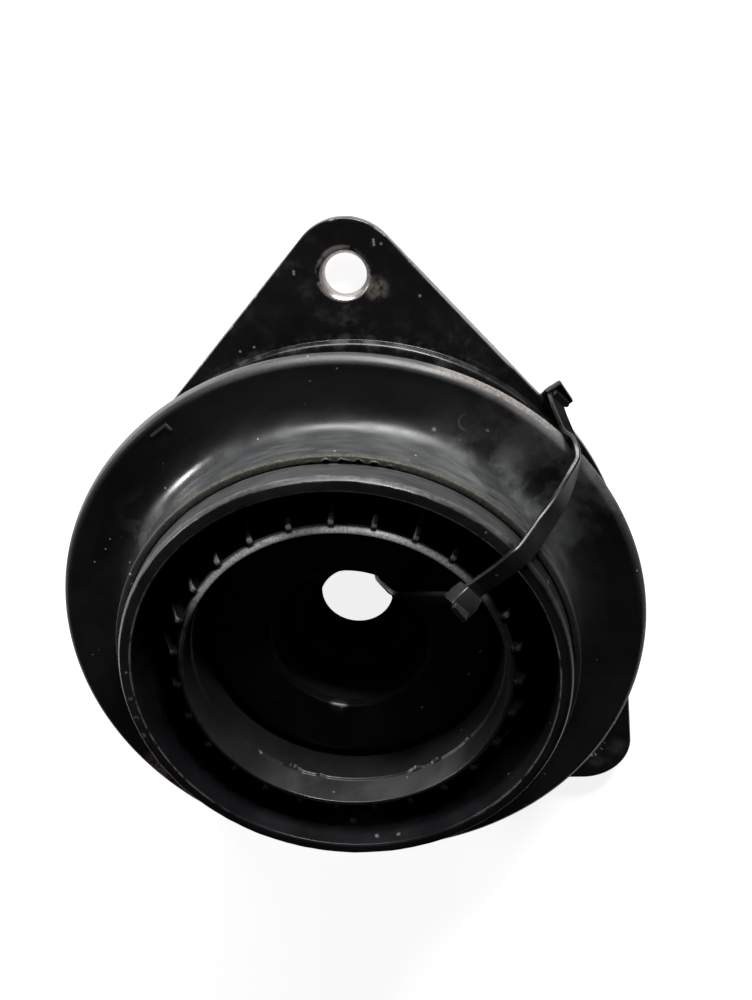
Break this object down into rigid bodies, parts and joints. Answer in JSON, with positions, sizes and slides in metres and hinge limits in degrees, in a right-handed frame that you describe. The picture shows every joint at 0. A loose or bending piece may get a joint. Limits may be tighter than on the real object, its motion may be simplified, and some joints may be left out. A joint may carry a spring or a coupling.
{
  "type": "strut mount",
  "caption": "Strut top mount: eared steel plate with a bonded rod bush, and a rubber-faced spring seat that turns on a thrust bearing.",
  "frame": {"origin": "on the rod axis at the nut seat of the core", "axes": "+Z along the rod axis towards the strut, +Y towards the upper ear, the car body side down"},
  "size_m": [0.1548, 0.1905, 0.0512],
  "materials": {
    "plate_paint": "satin black, worn",
    "core_steel": "dark oiled steel",
    "bush_rubber": "matte",
    "seat_plastic": "satin glass-filled nylon",
    "pad_rubber": "dusty satin",
    "cap_plastic": "satin",
    "race_steel": "ground",
    "ball_steel": "polished",
    "cage_plastic": "natural nylon",
    "seal_rubber": "matte"
  },
  "bodies": {
    "mount": {"mounting_plate": "plate_paint", "rubber_bush": "bush_rubber", "rod_core": "core_steel", "retainer_ring": "plate_paint", "bearing_cap": "cap_plastic", "upper_race": "race_steel"},
    "cage": {"bearing_balls": "ball_steel", "ball_cage": "cage_plastic"},
    "seat": {"lower_race": "race_steel", "spring_seat": "seat_plastic", "spring_pad": "pad_rubber", "outer_seal": "seal_rubber", "inner_seal": "seal_rubber"}
  },
  "joints": [
    {"name": "seat_spin", "type": "hinge", "parent": "mount", "child": "seat", "pos_m": [0, 0, 0.008], "axis": [0, 0, 1], "continuous": true},
    {"name": "cage_spin", "type": "hinge", "parent": "mount", "child": "cage", "pos_m": [0, 0, 0.004], "axis": [0, 0, 1], "continuous": true}
  ],
  "couplings": [
    {"joint": "cage_spin", "follows": "seat_spin", "ratio": 0.5}
  ]
}
